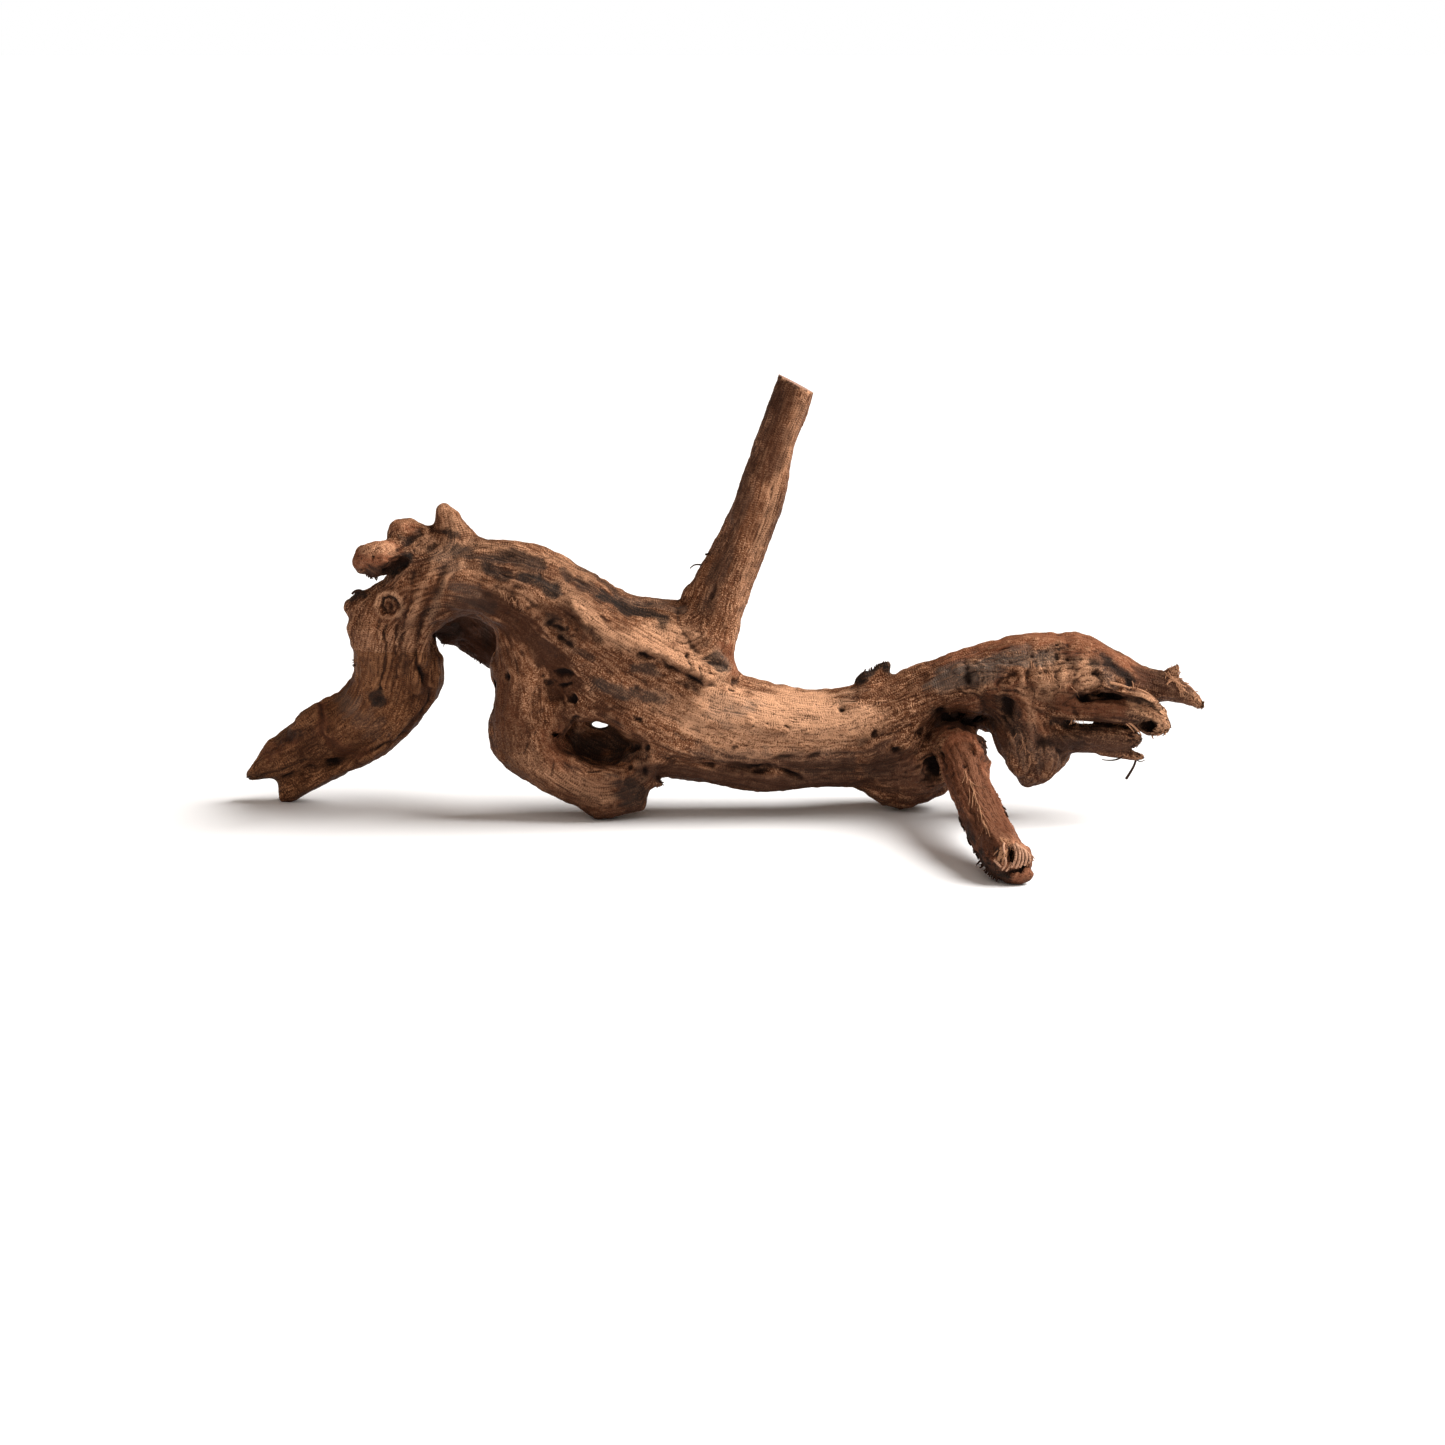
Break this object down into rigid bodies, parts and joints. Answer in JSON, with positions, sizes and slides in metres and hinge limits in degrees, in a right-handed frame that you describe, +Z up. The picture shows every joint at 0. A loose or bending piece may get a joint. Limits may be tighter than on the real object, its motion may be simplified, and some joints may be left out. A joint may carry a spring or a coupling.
{
  "type": "aquarium driftwood",
  "caption": "Weathered branching root that stands on its lowest tips, with an arch, a looped root, a sawn upright branch and broken prongs, as decor and shelter.",
  "frame": {"origin": "on the surface that it stands on, under the middle of the box round it", "axes": "+X from the left leg to the prongs, +Y to the back, +Z up"},
  "size_m": [0.4054, 0.1614, 0.1853],
  "materials": {
    "weathered_root": "dry, weathered, reddish brown with tan ridges and grey-black stains, matt",
    "grey_brown_root": "dry, weathered, greyer brown with dark cracks, matt",
    "dark_root": "dry, dark brown, ragged, matt",
    "branch_wood": "dry, fine straight grain, sawn end paler, matt",
    "red_brown_root": "dry, coarse grain, reddish brown, torn pale fibres at the foot, matt",
    "torn_wood": "dry, split and fibrous, reddish brown, matt"
  },
  "bodies": {
    "root": {"left_leg": "grey_brown_root", "shoulder": "weathered_root", "middle_stem": "weathered_root", "root_loop": "weathered_root", "back_root": "dark_root", "upright_branch": "branch_wood", "crown": "weathered_root", "jaw": "weathered_root", "upper_prong": "torn_wood", "middle_prong": "torn_wood", "lower_prong": "torn_wood", "front_leg": "red_brown_root"}
  },
  "joints": []
}
